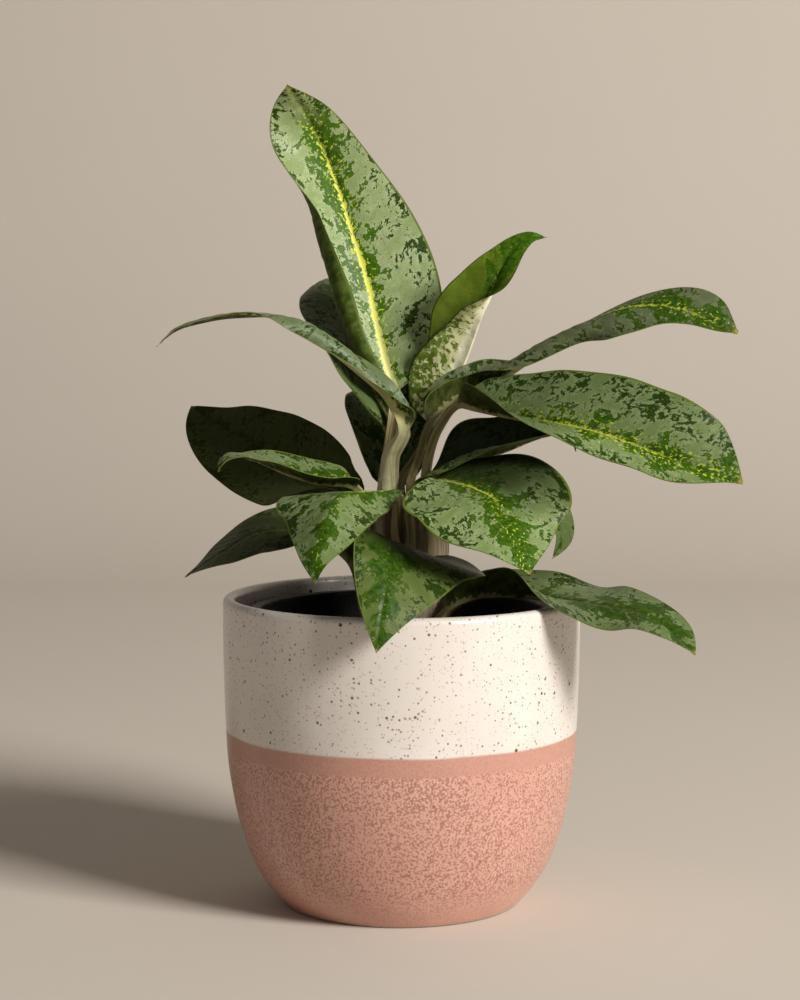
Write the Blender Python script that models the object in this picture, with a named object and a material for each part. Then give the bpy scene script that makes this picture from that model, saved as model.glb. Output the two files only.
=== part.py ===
"""A chinese evergreen in a black nursery pot, which stands inside a two-tone ceramic cover pot.

Metres, +Z up. The origin is the centre of the cover pot's underside. +X is the plant's right and
-Y its front. Lengths below are in millimetres and are scaled by MM where a mesh is made.
"""

import math

import bmesh
import bpy
import numpy as np
from mathutils import Vector

MM = 0.001
GAP = 0.3

# Cover pot: 140 mm across the rim and 121 mm tall, a straight wall over a rounded bowl.
# The profile is the outer wall as (radius, height), from the edge of the flat foot upwards.
POT_HEIGHT = 121.0
POT_RADIUS = 70.1
POT_PROFILE = (
    (46.5, 0.0), (52.1, 6.3), (57.7, 15.0), (61.4, 24.0), (64.7, 35.0), (66.7, 45.0),
    (68.3, 56.0), (69.1, 69.5), (69.7, 87.0), (70.0, 103.0),
)
POT_WALL = 5.0
POT_FLOOR = 7.0
POT_FLOOR_RADIUS = 46.0
POT_SIDES = 48

# Nursery pot: 120 mm across its rolled lip, standing on the cover pot's floor.
NURSERY_LIP_RADIUS = 60.0
NURSERY_TOP = 116.0
NURSERY_LIP_DEPTH = 7.0
NURSERY_TOP_RADIUS = 57.0
NURSERY_FOOT_RADIUS = 40.0
NURSERY_WALL = 1.2
NURSERY_SIDES = 40
DRAIN_RADIUS = 3.5
DRAIN_RING = 26.0
DRAIN_COUNT = 6

# Soil: fills the nursery pot to a little under its lip.
SOIL_TOP = 98.0
SOIL_DOME = 1.5
SOIL_SHOULDER = (38.0, SOIL_TOP + 0.9)

# Canes: centre, radius at the soil and at the flat top, and the heights of foot and top.
CANE_FOOT = 76.0
LEFT_CANE = {"centre": (-8.0, 4.0), "radius": 5.0, "top_radius": 4.8, "top": 160.0}
RIGHT_CANE = {"centre": (8.5, 2.0), "radius": 10.5, "top_radius": 9.5, "top": 160.0}
CANE_SIDES = 20
SCAR_COUNT = 4
SCAR_DEPTH = 0.4
SCAR_HEIGHT = 3.0

# Leaf sections: sheet, margin and rib thickness, and the rows and strips across half a blade.
SHEET = 0.8
MARGIN = 0.45
RIB_AT_BLADE = 2.2
RIB_AT_TIP = 1.0
RIB_SPREAD = 1.6
STALK_RIB = 2.8
STALK_HALF_WIDTH = 2.2
STALK_LIFT = 55.0
STALK_CLEARANCE = 2.4
STALK_ROWS = 5
BLADE_ROWS = 14
TIP_CROWDING = 1.15
STRIPS = (0.0, 0.34, 0.68, 1.0)
CURL_STEPS = 50
LEAST_HALF_WIDTH = 0.4

# Half-width of an evergreen blade against the distance from its base, both as fractions.
BLADE_OUTLINE = (
    (0.0, 0.0), (0.03, 0.36), (0.10, 0.66), (0.22, 0.90), (0.36, 1.0), (0.52, 0.96),
    (0.68, 0.80), (0.82, 0.55), (0.92, 0.28), (0.97, 0.11), (1.0, 0.0),
)

COLOURS = {
    "glaze": ((0.83, 0.77, 0.68), 0.25),
    "plastic": ((0.012, 0.012, 0.012), 0.45),
    "soil": ((0.035, 0.022, 0.014), 0.95),
    "cane": ((0.42, 0.33, 0.22), 0.55),
    "leaf": ((0.10, 0.22, 0.05), 0.40),
}


def clear_scene():
    for old in list(bpy.data.objects):
        bpy.data.objects.remove(old, do_unlink=True)


def material(name, kind):
    """One Principled material, named after its piece."""
    colour, roughness = COLOURS[kind]
    made = bpy.data.materials.new(name)
    made.use_nodes = True
    shader = made.node_tree.nodes["Principled BSDF"]
    shader.inputs["Base Color"].default_value = (*colour, 1.0)
    shader.inputs["Roughness"].default_value = roughness
    shader.inputs["Metallic"].default_value = 0.0
    return made


def add_object(name, mesh_builder, kind):
    """A scene object from a bmesh, shaded smooth with its hard edges kept."""
    mesh = bpy.data.meshes.new(name)
    bmesh.ops.recalc_face_normals(mesh_builder, faces=mesh_builder.faces)
    mesh_builder.to_mesh(mesh)
    mesh_builder.free()
    mesh.shade_smooth()
    mesh.set_sharp_from_angle(angle=math.radians(40))
    made = bpy.data.objects.new(name, mesh)
    made.data.materials.append(material(name, kind))
    bpy.context.scene.collection.objects.link(made)
    return made


def turned(name, outline, sides, kind):
    """A solid of revolution about Z from (radius, height) points."""
    shape = bmesh.new()
    points = [shape.verts.new((radius * MM, 0.0, height * MM)) for radius, height in outline]
    edges = [shape.edges.new(pair) for pair in zip(points, points[1:])]
    bmesh.ops.spin(
        shape, geom=points + edges, cent=(0, 0, 0), axis=(0, 0, 1), angle=math.tau,
        steps=sides, use_merge=True,
    )
    bmesh.ops.remove_doubles(shape, verts=shape.verts, dist=1e-6)
    return add_object(name, shape, kind)


def cut(target, cutter):
    """Cut one object out of another. The cutter stays as a hidden guide."""
    cutter.hide_render = True
    cutter.display_type = "WIRE"
    boolean = target.modifiers.new("cut_" + cutter.name, "BOOLEAN")
    boolean.operation = "DIFFERENCE"
    boolean.object = cutter


def arc(centre, radius, start, end, count):
    """Points of an arc in the (radius, height) plane, angles in degrees."""
    angles = [math.radians(start + (end - start) * step / count) for step in range(count + 1)]
    return [(centre[0] + radius * math.cos(a), centre[1] + radius * math.sin(a)) for a in angles]


def build_cover_pot():
    """One thick-walled ceramic vessel with a rounded rim and a flat foot."""
    rim = POT_WALL / 2
    lip = arc((POT_RADIUS - rim, POT_HEIGHT - rim), rim, 0, 180, 6)
    inner = [(radius - POT_WALL, height) for radius, height in reversed(POT_PROFILE)
             if height > 2 * POT_FLOOR]
    floor = [(POT_FLOOR_RADIUS, POT_FLOOR), (0.0, POT_FLOOR)]
    outline = [(0.0, 0.0), *POT_PROFILE, *lip, *inner, *floor]
    return turned("cover_pot", outline, POT_SIDES, "glaze")


def nursery_radius(height):
    """Outer radius of the nursery pot's tapered wall."""
    foot = POT_FLOOR + GAP
    share = (height - foot) / (NURSERY_TOP - foot)
    return NURSERY_FOOT_RADIUS + (NURSERY_TOP_RADIUS - NURSERY_FOOT_RADIUS) * share


def build_nursery_pot():
    """A thin tapered pot with a turned-out lip and drain holes in its floor."""
    foot = POT_FLOOR + GAP
    lip_foot = NURSERY_TOP - NURSERY_LIP_DEPTH
    outline = [
        (0.0, foot), (nursery_radius(foot), foot),
        (nursery_radius(lip_foot), lip_foot), (NURSERY_LIP_RADIUS - 0.6, lip_foot),
        (NURSERY_LIP_RADIUS, NURSERY_TOP - 0.8), (NURSERY_LIP_RADIUS - 0.8, NURSERY_TOP),
        (nursery_radius(NURSERY_TOP) - 0.4, NURSERY_TOP - 0.2),
        (nursery_radius(lip_foot) - NURSERY_WALL, lip_foot - 1.0),
        (nursery_radius(foot) - NURSERY_WALL, foot + NURSERY_WALL), (0.0, foot + NURSERY_WALL),
    ]
    pot = turned("nursery_pot", outline, NURSERY_SIDES, "plastic")
    drains = bmesh.new()
    for index in range(DRAIN_COUNT):
        turn = math.tau * index / DRAIN_COUNT
        place = Vector((DRAIN_RING * math.cos(turn), DRAIN_RING * math.sin(turn), foot)) * MM
        made = bmesh.ops.create_cone(
            drains, cap_ends=True, segments=10, radius1=DRAIN_RADIUS * MM,
            radius2=DRAIN_RADIUS * MM, depth=6 * NURSERY_WALL * MM,
        )
        bmesh.ops.translate(drains, verts=made["verts"], vec=place)
    cut(pot, add_object("drain_cutter", drains, "plastic"))
    return pot


def build_soil():
    """The potting mix, with a hole for the foot of each cane."""
    foot = POT_FLOOR + 2 * GAP + NURSERY_WALL
    side = NURSERY_WALL + 2 * GAP
    outline = [
        (0.0, foot), (nursery_radius(foot) - side, foot), (nursery_radius(SOIL_TOP) - side, SOIL_TOP),
        SOIL_SHOULDER, (0.0, SOIL_TOP + SOIL_DOME),
    ]
    soil = turned("soil", outline, NURSERY_SIDES, "soil")
    for name, cane in (("left_hole_cutter", LEFT_CANE), ("right_hole_cutter", RIGHT_CANE)):
        hole = bmesh.new()
        radius = (cane["radius"] + GAP) * MM
        low = CANE_FOOT - GAP
        high = SOIL_TOP + 4 * SOIL_DOME
        bmesh.ops.create_cone(
            hole, cap_ends=True, segments=CANE_SIDES, radius1=radius, radius2=radius,
            depth=(high - low) * MM,
        )
        middle = Vector((*cane["centre"], (low + high) / 2)) * MM
        bmesh.ops.translate(hole, verts=hole.verts, vec=middle)
        cut(soil, add_object(name, hole, "soil"))
    return soil


def build_cane(name, cane):
    """A stout stem with a flat top, ringed by old leaf scars."""
    outline = [(0.0, CANE_FOOT), (cane["radius"] - SCAR_DEPTH, CANE_FOOT)]
    for index in range(SCAR_COUNT + 1):
        share = index / SCAR_COUNT
        height = SOIL_TOP + (cane["top"] - SOIL_TOP) * share
        radius = cane["radius"] + (cane["top_radius"] - cane["radius"]) * share
        outline += [(radius - SCAR_DEPTH, height - SCAR_HEIGHT), (radius, height)]
    outline.append((0.0, cane["top"]))
    made = turned(name, outline, CANE_SIDES, "cane")
    made.location = Vector((*cane["centre"], 0.0)) * MM
    return made


def smooth_through(values, knots, at):
    """Catmull-Rom values through rows of numbers at uneven knots."""
    values = np.asarray(values, float)
    knots = np.asarray(knots, float)
    slopes = np.gradient(values, knots, axis=0, edge_order=1)
    index = np.clip(np.searchsorted(knots, at, side="right") - 1, 0, len(knots) - 2)
    step = knots[index + 1] - knots[index]
    part = (at - knots[index]) / step
    if values.ndim > 1:
        step, part = step[:, None], part[:, None]
    return (
        values[index] * (2 * part**3 - 3 * part**2 + 1)
        + slopes[index] * step * (part**3 - 2 * part**2 + part)
        + values[index + 1] * (3 * part**2 - 2 * part**3)
        + slopes[index + 1] * step * (part**3 - part**2)
    )


def along(values, at):
    """A setting given at even steps from base to tip, read at the fractions in at."""
    if len(values) == 1:
        return np.full(len(at), float(values[0]))
    return smooth_through(values, np.linspace(0.0, 1.0, len(values)), at)


def spaced_curve(points, fractions):
    """Points at fractions of the length of a smooth curve through the given points."""
    points = np.asarray(points, float)
    knots = np.concatenate([[0.0], np.cumsum(np.linalg.norm(np.diff(points, axis=0), axis=1))])
    fine = smooth_through(points, knots, np.linspace(0.0, knots[-1], 400))
    length = np.concatenate([[0.0], np.cumsum(np.linalg.norm(np.diff(fine, axis=0), axis=1))])
    wanted = np.asarray(fractions) * length[-1]
    return np.stack([np.interp(wanted, length, fine[:, axis]) for axis in range(3)], axis=1)


def beside(cane, azimuth, height, clearance=STALK_CLEARANCE):
    """Where a stalk leaves the side of a cane: two points that climb along its skin."""
    turn = math.radians(azimuth)
    points = []
    for rise, lean in ((0.0, 0.0), (8.0, 0.6)):
        reach = cane["radius"] + clearance + lean
        x = cane["centre"][0] + reach * math.cos(turn)
        y = cane["centre"][1] + reach * math.sin(turn)
        points.append((x, y, height + rise))
    return points


def on_top(cane, x, y):
    """Where a stalk stands on the flat top of a cane."""
    return [(x, y, cane["top"] + 1.4 * GAP), (x, y, cane["top"] + 5.0)]


def half_section(leaf, side, blade, half_width, rib, frame):
    """Upper and lower points of the left (+1) or right (-1) half of every row, margin last."""
    centre, across, normal = frame
    settings = leaf["left"] if side > 0 else leaf["right"]
    on_blade = np.clip(blade, 0, 1)
    stalk_lift = leaf.get("stalk_lift", STALK_LIFT)
    lift = np.where(blade < 0, stalk_lift + (1 + blade) * (settings["lift"][0] - stalk_lift),
                    along(settings["lift"], on_blade))
    curl = np.where(blade < 0, 0.0, along(settings.get("curl", [0.0]), on_blade))
    width = np.where(blade < 0, 1.0, along(settings.get("width", [1.0]), on_blade)) * half_width
    lift, curl = np.radians(lift), np.radians(curl)
    path = np.linspace(0.0, 1.0, CURL_STEPS + 1)
    bend = lift[:, None] + curl[:, None] * path ** settings.get("roll", 1.0)
    run_out = (np.cumsum(np.cos(bend), axis=1) - np.cos(bend[:, :1])) / CURL_STEPS
    run_up = (np.cumsum(np.sin(bend), axis=1) - np.sin(bend[:, :1])) / CURL_STEPS
    upper, lower = [], []
    for strip in STRIPS[1:]:
        step = round(strip * CURL_STEPS)
        angle = bend[:, step]
        out = width * run_out[:, step]
        up = width * run_up[:, step]
        point = centre + side * out[:, None] * across + up[:, None] * normal
        skin = -side * np.sin(angle)[:, None] * across + np.cos(angle)[:, None] * normal
        swell = np.maximum(0.0, 1.0 - (strip * width / (RIB_SPREAD * rib)) ** 2)
        thickness = MARGIN if strip == STRIPS[-1] else SHEET
        upper.append(point)
        lower.append(point - (thickness + (rib - thickness) * swell)[:, None] * skin)
    return upper, lower, lift


def build_leaf(name, leaf):
    """Stalk, midrib and blade lofted as one body, from where the stalk starts to the drip tip."""
    path = leaf["stalk"] + leaf["midrib"]
    steps = np.linalg.norm(np.diff(np.asarray(path, float), axis=0), axis=1)
    stalk_share = steps[: len(leaf["stalk"])].sum() / steps.sum()
    stalk_rows = np.linspace(0.0, stalk_share, STALK_ROWS, endpoint=False)
    blade_rows = 1 - (1 - np.linspace(0.0, 1.0, BLADE_ROWS)) ** TIP_CROWDING
    rows = np.concatenate([stalk_rows, stalk_share + (1 - stalk_share) * blade_rows])
    blade = np.where(rows < stalk_share - 1e-9, rows / stalk_share - 1,
                     (rows - stalk_share) / (1 - stalk_share))
    centre = spaced_curve(path, rows)
    ahead = np.gradient(centre, axis=0)
    ahead /= np.linalg.norm(ahead, axis=1)[:, None]
    heading = np.radians(leaf["heading"] + leaf.get("stalk_turn", 0.0) * np.clip(-blade, 0, 1))
    left = np.stack([-np.sin(heading), np.cos(heading), 0 * heading], axis=1)
    across = left - (ahead * left).sum(axis=1)[:, None] * ahead
    across /= np.linalg.norm(across, axis=1)[:, None]
    normal = np.cross(ahead, across)
    outline = smooth_through([w for _, w in BLADE_OUTLINE], [u for u, _ in BLADE_OUTLINE],
                             np.clip(blade, 0, 1))
    stalk_width = leaf.get("stalk_half_width", STALK_HALF_WIDTH)
    half_width = leaf["half_width"] * np.maximum(outline, 0.0)
    half_width += np.where(blade < 0, stalk_width, stalk_width * np.clip(1 - 6 * blade, 0, 1))
    half_width = np.maximum(half_width, LEAST_HALF_WIDTH)
    rib = np.where(blade < 0, STALK_RIB + (RIB_AT_BLADE - STALK_RIB) * (1 + blade),
                   RIB_AT_BLADE + (RIB_AT_TIP - RIB_AT_BLADE) * blade)
    frame = (centre, across, normal)
    left_up, left_low, lift_left = half_section(leaf, 1, blade, half_width, rib, frame)
    right_up, right_low, lift_right = half_section(leaf, -1, blade, half_width, rib, frame)
    lean = (np.sin(lift_right) - np.sin(lift_left))[:, None] * across
    down = lean + (np.cos(lift_left) + np.cos(lift_right) + 0.4)[:, None] * normal
    down /= np.linalg.norm(down, axis=1)[:, None]
    keel = centre - rib[:, None] * down
    ring = left_up[::-1] + [centre] + right_up + right_low[::-1] + [keel] + left_low
    grid = np.stack(ring, axis=1)
    return add_object(name, lofted(grid), "leaf")


def lofted(grid):
    """A closed body through rings of points, capped at both ends."""
    row_count, ring_count, _ = grid.shape
    shape = bmesh.new()
    bmesh.ops.create_grid(shape, x_segments=row_count - 1, y_segments=ring_count, size=0.5)
    for vertex in shape.verts:
        row = round((vertex.co.x + 0.5) * (row_count - 1))
        spot = round((vertex.co.y + 0.5) * ring_count) % ring_count
        vertex.co = Vector(grid[row, spot]) * MM
    bmesh.ops.remove_doubles(shape, verts=shape.verts, dist=1e-7)
    bmesh.ops.holes_fill(shape, edges=shape.edges, sides=0)
    return shape


# Each leaf: the way it faces in plan (degrees from +X towards +Y), its stalk from the cane and its
# midrib from blade base to tip, its half-width, and for each half of the blade, at even steps from
# base to tip, how far it lifts from flat, how much it curls on towards its margin (degrees) and
# its share of the half-width. A roll above 1 keeps the curl near the margin. A stalk may have its
# own half-width, lift and turn at its foot. Left and right are seen from the base, upper face up.
LEAVES = {
    "leaf_tall": {
        "heading": 90,
        "stalk": on_top(LEFT_CANE, -7, 6) + [(-4.4, 8, 181)],
        "midrib": [(-3, 13, 201), (-6, 16, 211), (-9, 19, 223), (-13, 23, 242), (-19, 25, 261),
                   (-24, 26, 277), (-31, 22, 296), (-38, 14, 310), (-44, 2, 319)],
        "half_width": 33,
        "left": {"lift": [24, 18, 30, 34, -5], "curl": [190, 190, 125, 60, 0], "roll": 2.3,
                 "width": [1.0, 0.98, 0.92, 1, 1.5]},
        "right": {"lift": [20, 6, 6, 5, 0], "curl": [0, -10, -15, -20, -20],
                  "width": [1.12, 0.9, 0.78, 0.6, 0.7]},
    },
    "leaf_rolled": {
        "heading": 0,
        "stalk": on_top(RIGHT_CANE, 0, 3.5) + [(5, 5, 173)],
        "midrib": [(14, 8.5, 186), (20, 8.5, 199), (27, 4.5, 217), (34, 0, 238), (39, 0, 250),
                   (44, 1, 257), (50, 2, 261), (57, 4, 261)],
        "half_width": 20,
        "left": {"lift": [75, 75, 72, 70, 70, 60, 30], "curl": [10],
                 "width": [0.85, 0.85, 0.88, 1.0, 0.82, 0.5, 0.6]},
        "right": {"lift": [85, 85, 85, 78, -30, -60, -60], "curl": [30, 30, 20, 0, 0, 0],
                  "width": [1.3, 1.2, 0.85, 0.5, 0.55, 0.5, 0.5]},
    },
    "leaf_left_ribbon": {
        "heading": 180,
        "stalk": on_top(LEFT_CANE, -5.5, -0.4) + [(-5.0, -2.2, 176)],
        "stalk_half_width": 4.5,
        "stalk_lift": 22,
        "stalk_turn": 90,
        "midrib": [(-0.5, -6, 187), (-4, -8, 195), (-7, -10, 200), (-15, -12, 208), (-27, -14, 218),
                   (-39, -16, 227), (-44, -17, 229), (-60, -20, 232), (-75, -22, 230), (-86, -24, 226),
                   (-93, -26, 219)],
        "half_width": 20,
        "left": {"lift": [70, 80, 90, 55, 0, -10, -10], "curl": [0, -140, -190, -150, 0, 0, 0],
                 "width": [0.9, 0.58, 0.7, 0.7, 0.4, 0.6, 1]},
        "right": {"lift": [80, 45, 10, 0, -8, -10, -10], "width": [0.6, 0.5, 0.6, 0.8, 1, 1, 1]},
    },
    "leaf_back_left": {
        "heading": 110,
        "stalk": beside(LEFT_CANE, 85, 148, 2.1) + [(-5, 13, 172)],
        "midrib": [(-4, 15, 185), (-12, 26, 202), (-19, 42, 225), (-25, 58, 241), (-28, 76, 246),
                   (-29, 96, 241), (-29, 113, 226)],
        "half_width": 22,
        "left": {"lift": [40, 30, 15, -5, -30], "curl": [0, 0, -50, -80, -60],
                 "width": [1.5, 1.15, 0.92, 0.75, 0.6]},
        "right": {"lift": [40, 25, 10, 0, 0]},
    },
    "leaf_back_low": {
        "heading": 100,
        "stalk": beside(RIGHT_CANE, 130, 136, 1.5),
        "midrib": [(-2, 20, 161), (-4, 24, 173), (-7, 32, 187), (-9, 46, 198), (-10, 66, 203),
                   (-10, 90, 198)],
        "half_width": 21,
        "left": {"lift": [20, 18, 10, -5, -20], "curl": [0, 0, -30, -60, -60],
                 "width": [0.85, 0.76, 0.7, 0.6, 0.5]},
        "right": {"lift": [40, 35, 20, 0, 0]},
    },
    "leaf_left_broad": {
        "heading": 150,
        "stalk": beside(LEFT_CANE, 150, 126, 1.6),
        "midrib": [(-18, 6, 153), (-29, 22, 160), (-46, 45, 169), (-66, 68, 179), (-81, 85, 185),
                   (-91, 98, 191)],
        "half_width": 27,
        "left": {"lift": [40, -30, -45, -40, -20], "width": [0.85, 0.85, 0.9, 1.05, 1.1]},
        "right": {"lift": [75, 70, 60, 50, 35], "width": [0.7, 0.73, 0.75, 0.77, 0.9]},
    },
    "leaf_left_small": {
        "heading": 200,
        "stalk": beside(LEFT_CANE, 215, 132, 2.0),
        "midrib": [(-19, -18, 166), (-32, -26, 168), (-42, -33, 171.5), (-55, -42, 177.5),
                   (-62, -47, 179), (-66, -50, 177), (-68, -52, 173.5)],
        "half_width": 14,
        "left": {"lift": [20, 10, 8, 0, 0]},
        "right": {"lift": [45, 38, 25, 5, 0]},
    },
    "leaf_front_left": {
        "heading": -125,
        "stalk": beside(RIGHT_CANE, 215, 136, 1.5),
        "midrib": [(-2, -17, 163.5), (-8, -32, 165), (-15, -47, 166), (-22, -58, 166), (-26, -68, 161),
                   (-29, -74, 152), (-31, -78, 143), (-31, -80, 135)],
        "half_width": 26,
        "left": {"lift": [0, -30, -35, -35, -20], "width": [0.3, 0.4, 0.65, 0.75, 0.5]},
        "right": {"lift": [-14, -12, -6, -5, 0], "width": [1.0, 1.08, 1.08, 0.95, 0.6]},
    },
    "leaf_low_left": {
        "heading": 180,
        "stalk": beside(LEFT_CANE, 190, 106, 1.9),
        "midrib": [(-20, 0, 135), (-30, -1, 143), (-42, -3, 147), (-57, -6, 146), (-70, -10, 139),
                   (-84, -14, 130)],
        "half_width": 22,
        "left": {"lift": [30, -20, -25, -20, -10], "width": [0.2, 0.3, 0.8, 1, 1]},
        "right": {"lift": [40, 20, 15, 10, 0]},
    },
    "leaf_front_low": {
        "heading": -95,
        "stalk": beside(RIGHT_CANE, 235, 106, 2.0),
        "midrib": [(-3, -24, 135), (-2, -40, 144), (-3, -52, 148), (-4, -64, 145), (-5, -74, 136),
                   (-7, -82, 124), (-9, -86, 111)],
        "half_width": 30,
        "left": {"lift": [20, -18, -20, -20, -10], "width": [1.2, 1.25, 1.12, 0.8, 0.5]},
        "right": {"lift": [30, 25, 20, 10, 0], "width": [0.42, 0.46, 0.48, 0.5, 0.45]},
    },
    "leaf_front_right": {
        "heading": -50,
        "stalk": beside(RIGHT_CANE, 280, 130, 1.8),
        "midrib": [(12, -19, 167), (20, -33, 168), (27, -45, 167), (34, -56, 164), (38, -67, 157),
                   (43, -76, 148), (46, -82, 139)],
        "half_width": 27,
        "left": {"lift": [32, 24, 18, 10, 0], "width": [0.78, 1.0, 1.15, 1.13, 0.8]},
        "right": {"lift": [20, 5, -10, -16, -20, -15, -10],
                  "width": [0.02, 0.5, 1.08, 1.22, 1.34, 1.4, 1.2]},
    },
    "leaf_right_under": {
        "heading": -5,
        "stalk": beside(RIGHT_CANE, 250, 138, 2.1),
        "midrib": [(5, -12, 163), (14, -12, 168), (25, -12, 173), (40, -15, 179), (55, -19, 185),
                   (64, -22, 186), (67, -23, 179)],
        "half_width": 18,
        "left": {"lift": [60, 70, 60, 50, 40, 20, 10], "width": [0.1, 0.35, 1, 1, 1, 1, 1]},
        "right": {"lift": [70, 80, 70, 40, 10, 0, 0], "curl": [-60, -140, -120, -60, 0, 0, 0],
                  "width": [0.6, 0.7, 0.8, 0.8, 0.6, 0.6, 0.6]},
    },
    "leaf_right_broad": {
        "heading": -12,
        "stalk": on_top(RIGHT_CANE, 9.5, -4) + [(10.5, -6.5, 174), (15, -8.5, 187)],
        "midrib": [(23, -7, 196), (28, -10, 195), (45, -20, 192), (71, -34, 188), (95, -44, 180),
                   (112, -50, 173.5), (126, -52, 169)],
        "half_width": 27,
        "left": {"lift": [70, 60, 58, 60, 60, 50, 40], "curl": [0, -10, -10, 0, 0],
                 "width": [0.8, 0.86, 0.93, 1.0, 1.18, 1.72, 3.4]},
        "right": {"lift": [50, 22, 0, -25, -35, -35, -15],
                  "width": [1, 0.95, 0.76, 0.62, 0.62, 0.75, 0.6]},
    },
    "leaf_right_high": {
        "heading": 0,
        "stalk": on_top(RIGHT_CANE, 3.8, -3.4) + [(7.2, -2.3, 174)],
        "midrib": [(12, -0.5, 188), (21, 0.5, 197), (31, 0, 201), (38, -2, 205.5), (58, -6, 220),
                   (73, -9, 229), (82, -12, 233), (96, -14, 235), (111, -17, 232), (123, -20, 226),
                   (128, -21, 224)],
        "half_width": 18,
        "left": {"lift": [85, 70, -5, -5, 12, 52, 60], "width": [1.0, 0.85, 0.72, 0.6, 0.5, 1.25, 3.0]},
        "right": {"lift": [85, 86, 85, 40, -40, -45, -30], "curl": [0, -20, -190, -150, 0, 0, 0],
                  "width": [1.0, 0.55, 0.75, 0.75, 1.05, 0.9, 1.4]},
    },
    "leaf_right_back": {
        "heading": -20,
        "stalk": beside(RIGHT_CANE, 70, 122, 2.6),
        "midrib": [(15, 20, 149), (32, 30, 159), (49, 38, 159), (62, 42, 151), (66, 40, 141),
                   (62, 36, 131)],
        "half_width": 16,
        "left": {"lift": [20]},
        "right": {"lift": [-10]},
    },
    "leaf_right_low": {
        "heading": -15,
        "stalk": beside(RIGHT_CANE, 290, 101, 2.8),
        "midrib": [(18, -14, 116), (29, -19, 122), (45, -26, 124), (60, -34, 124), (74, -42, 123),
                   (91, -50, 120), (101, -56, 114), (108, -62, 107)],
        "half_width": 22,
        "left": {"lift": [50, 40, 25, 12, 18, 25, 20], "width": [0.85, 0.8, 0.82, 0.95, 0.92, 1.0, 1.6]},
        "right": {"lift": [85, 70, 40, -8, -25, -20, -15], "width": [0.65, 0.6, 0.72, 0.75, 0.85, 1, 1]},
    },
}


clear_scene()
build_cover_pot()
build_nursery_pot()
build_soil()
build_cane("left_cane", LEFT_CANE)
build_cane("right_cane", RIGHT_CANE)
for leaf_name, leaf_settings in LEAVES.items():
    build_leaf(leaf_name, leaf_settings)
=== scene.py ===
import math

import bmesh
import bpy
import numpy as np
from mathutils import Matrix, Vector, noise


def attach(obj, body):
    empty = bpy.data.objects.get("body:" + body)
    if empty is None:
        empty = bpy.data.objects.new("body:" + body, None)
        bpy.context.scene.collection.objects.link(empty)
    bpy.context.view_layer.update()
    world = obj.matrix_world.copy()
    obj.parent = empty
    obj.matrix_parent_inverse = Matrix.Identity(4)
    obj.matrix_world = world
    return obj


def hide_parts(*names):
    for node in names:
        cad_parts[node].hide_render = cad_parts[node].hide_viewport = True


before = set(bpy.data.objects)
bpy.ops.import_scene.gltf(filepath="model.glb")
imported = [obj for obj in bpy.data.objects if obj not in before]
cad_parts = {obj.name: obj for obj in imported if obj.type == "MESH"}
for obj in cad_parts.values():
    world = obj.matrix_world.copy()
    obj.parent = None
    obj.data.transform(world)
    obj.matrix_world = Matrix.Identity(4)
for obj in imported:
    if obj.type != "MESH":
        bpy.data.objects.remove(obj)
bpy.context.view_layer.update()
MM = 0.001


# Cover pot. A slip-cast stoneware pot, 14 cm across, dipped in two glazes: a glossy cream one with
# iron specks above and a rose one with dense rusty specks below, with a smooth band where they
# meet. The rim is rounded by hand, and the foot is wiped bare so that it doesn't stick in the kiln.
POT_PROFILE = (
    (46.5, 0.0), (52.1, 6.3), (57.7, 15.0), (61.4, 24.0), (64.7, 35.0), (66.7, 45.0),
    (68.3, 56.0), (69.1, 69.5), (69.7, 87.0), (70.0, 103.0), (70.1, 118.5),
)
RIM_RADIUS = 2.5
POT_WALL = 5.0
POT_FLOOR = 7.0
CORNER_TOP = 18.0
CORNER_RADIUS = 14.2
GLAZE_LINE = 69.5
BAND_HEIGHT = 7.0
BARE_FOOT = 0.9
POT_SIDES = 144


def tone(red, green, blue):
    """A screen colour, 0 to 255, as the linear colour that a shader takes."""
    return tuple(c / 3294.6 if c <= 10 else ((c / 255 + 0.055) / 1.055) ** 2.4
                 for c in (red, green, blue)) + (1.0,)


def smooth_through(values, knots, at):
    """Catmull-Rom values through rows of numbers at uneven knots."""
    values = np.asarray(values, float)
    knots = np.asarray(knots, float)
    slopes = np.gradient(values, knots, axis=0, edge_order=1)
    index = np.clip(np.searchsorted(knots, at, side="right") - 1, 0, len(knots) - 2)
    step = knots[index + 1] - knots[index]
    part = (at - knots[index]) / step
    if values.ndim > 1:
        step, part = step[:, None], part[:, None]
    return (
        values[index] * (2 * part**3 - 3 * part**2 + 1)
        + slopes[index] * step * (part**3 - 2 * part**2 + part)
        + values[index + 1] * (3 * part**2 - 2 * part**3)
        + slopes[index + 1] * step * (part**3 - part**2)
    )


def node(tree, kind, inputs=None, **settings):
    """A shader node with its settings, its input numbers and its links."""
    made = tree.nodes.new(kind)
    for key, value in settings.items():
        setattr(made, key, value)
    for key, value in (inputs or {}).items():
        if isinstance(value, bpy.types.NodeSocket):
            tree.links.new(value, made.inputs[key])
        else:
            made.inputs[key].default_value = value
    return made


def calc(tree, operation, *values):
    """One step of arithmetic on numbers or sockets."""
    made = node(tree, "ShaderNodeMath", dict(enumerate(values)), operation=operation)
    return made.outputs[0]


def ramp_up(tree, value, low, high):
    """0 below low, 1 above high and a soft step between. Low may be above high."""
    inputs = {"Value": value, "From Min": low, "From Max": high}
    made = node(tree, "ShaderNodeMapRange", inputs, interpolation_type="SMOOTHSTEP")
    return made.outputs[0]


def blended(tree, share, first, second):
    """A colour that goes from first to second as share goes from 0 to 1."""
    made = node(tree, "ShaderNodeMix", {0: share, 6: first, 7: second}, data_type="RGBA")
    return made.outputs[2]


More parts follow.
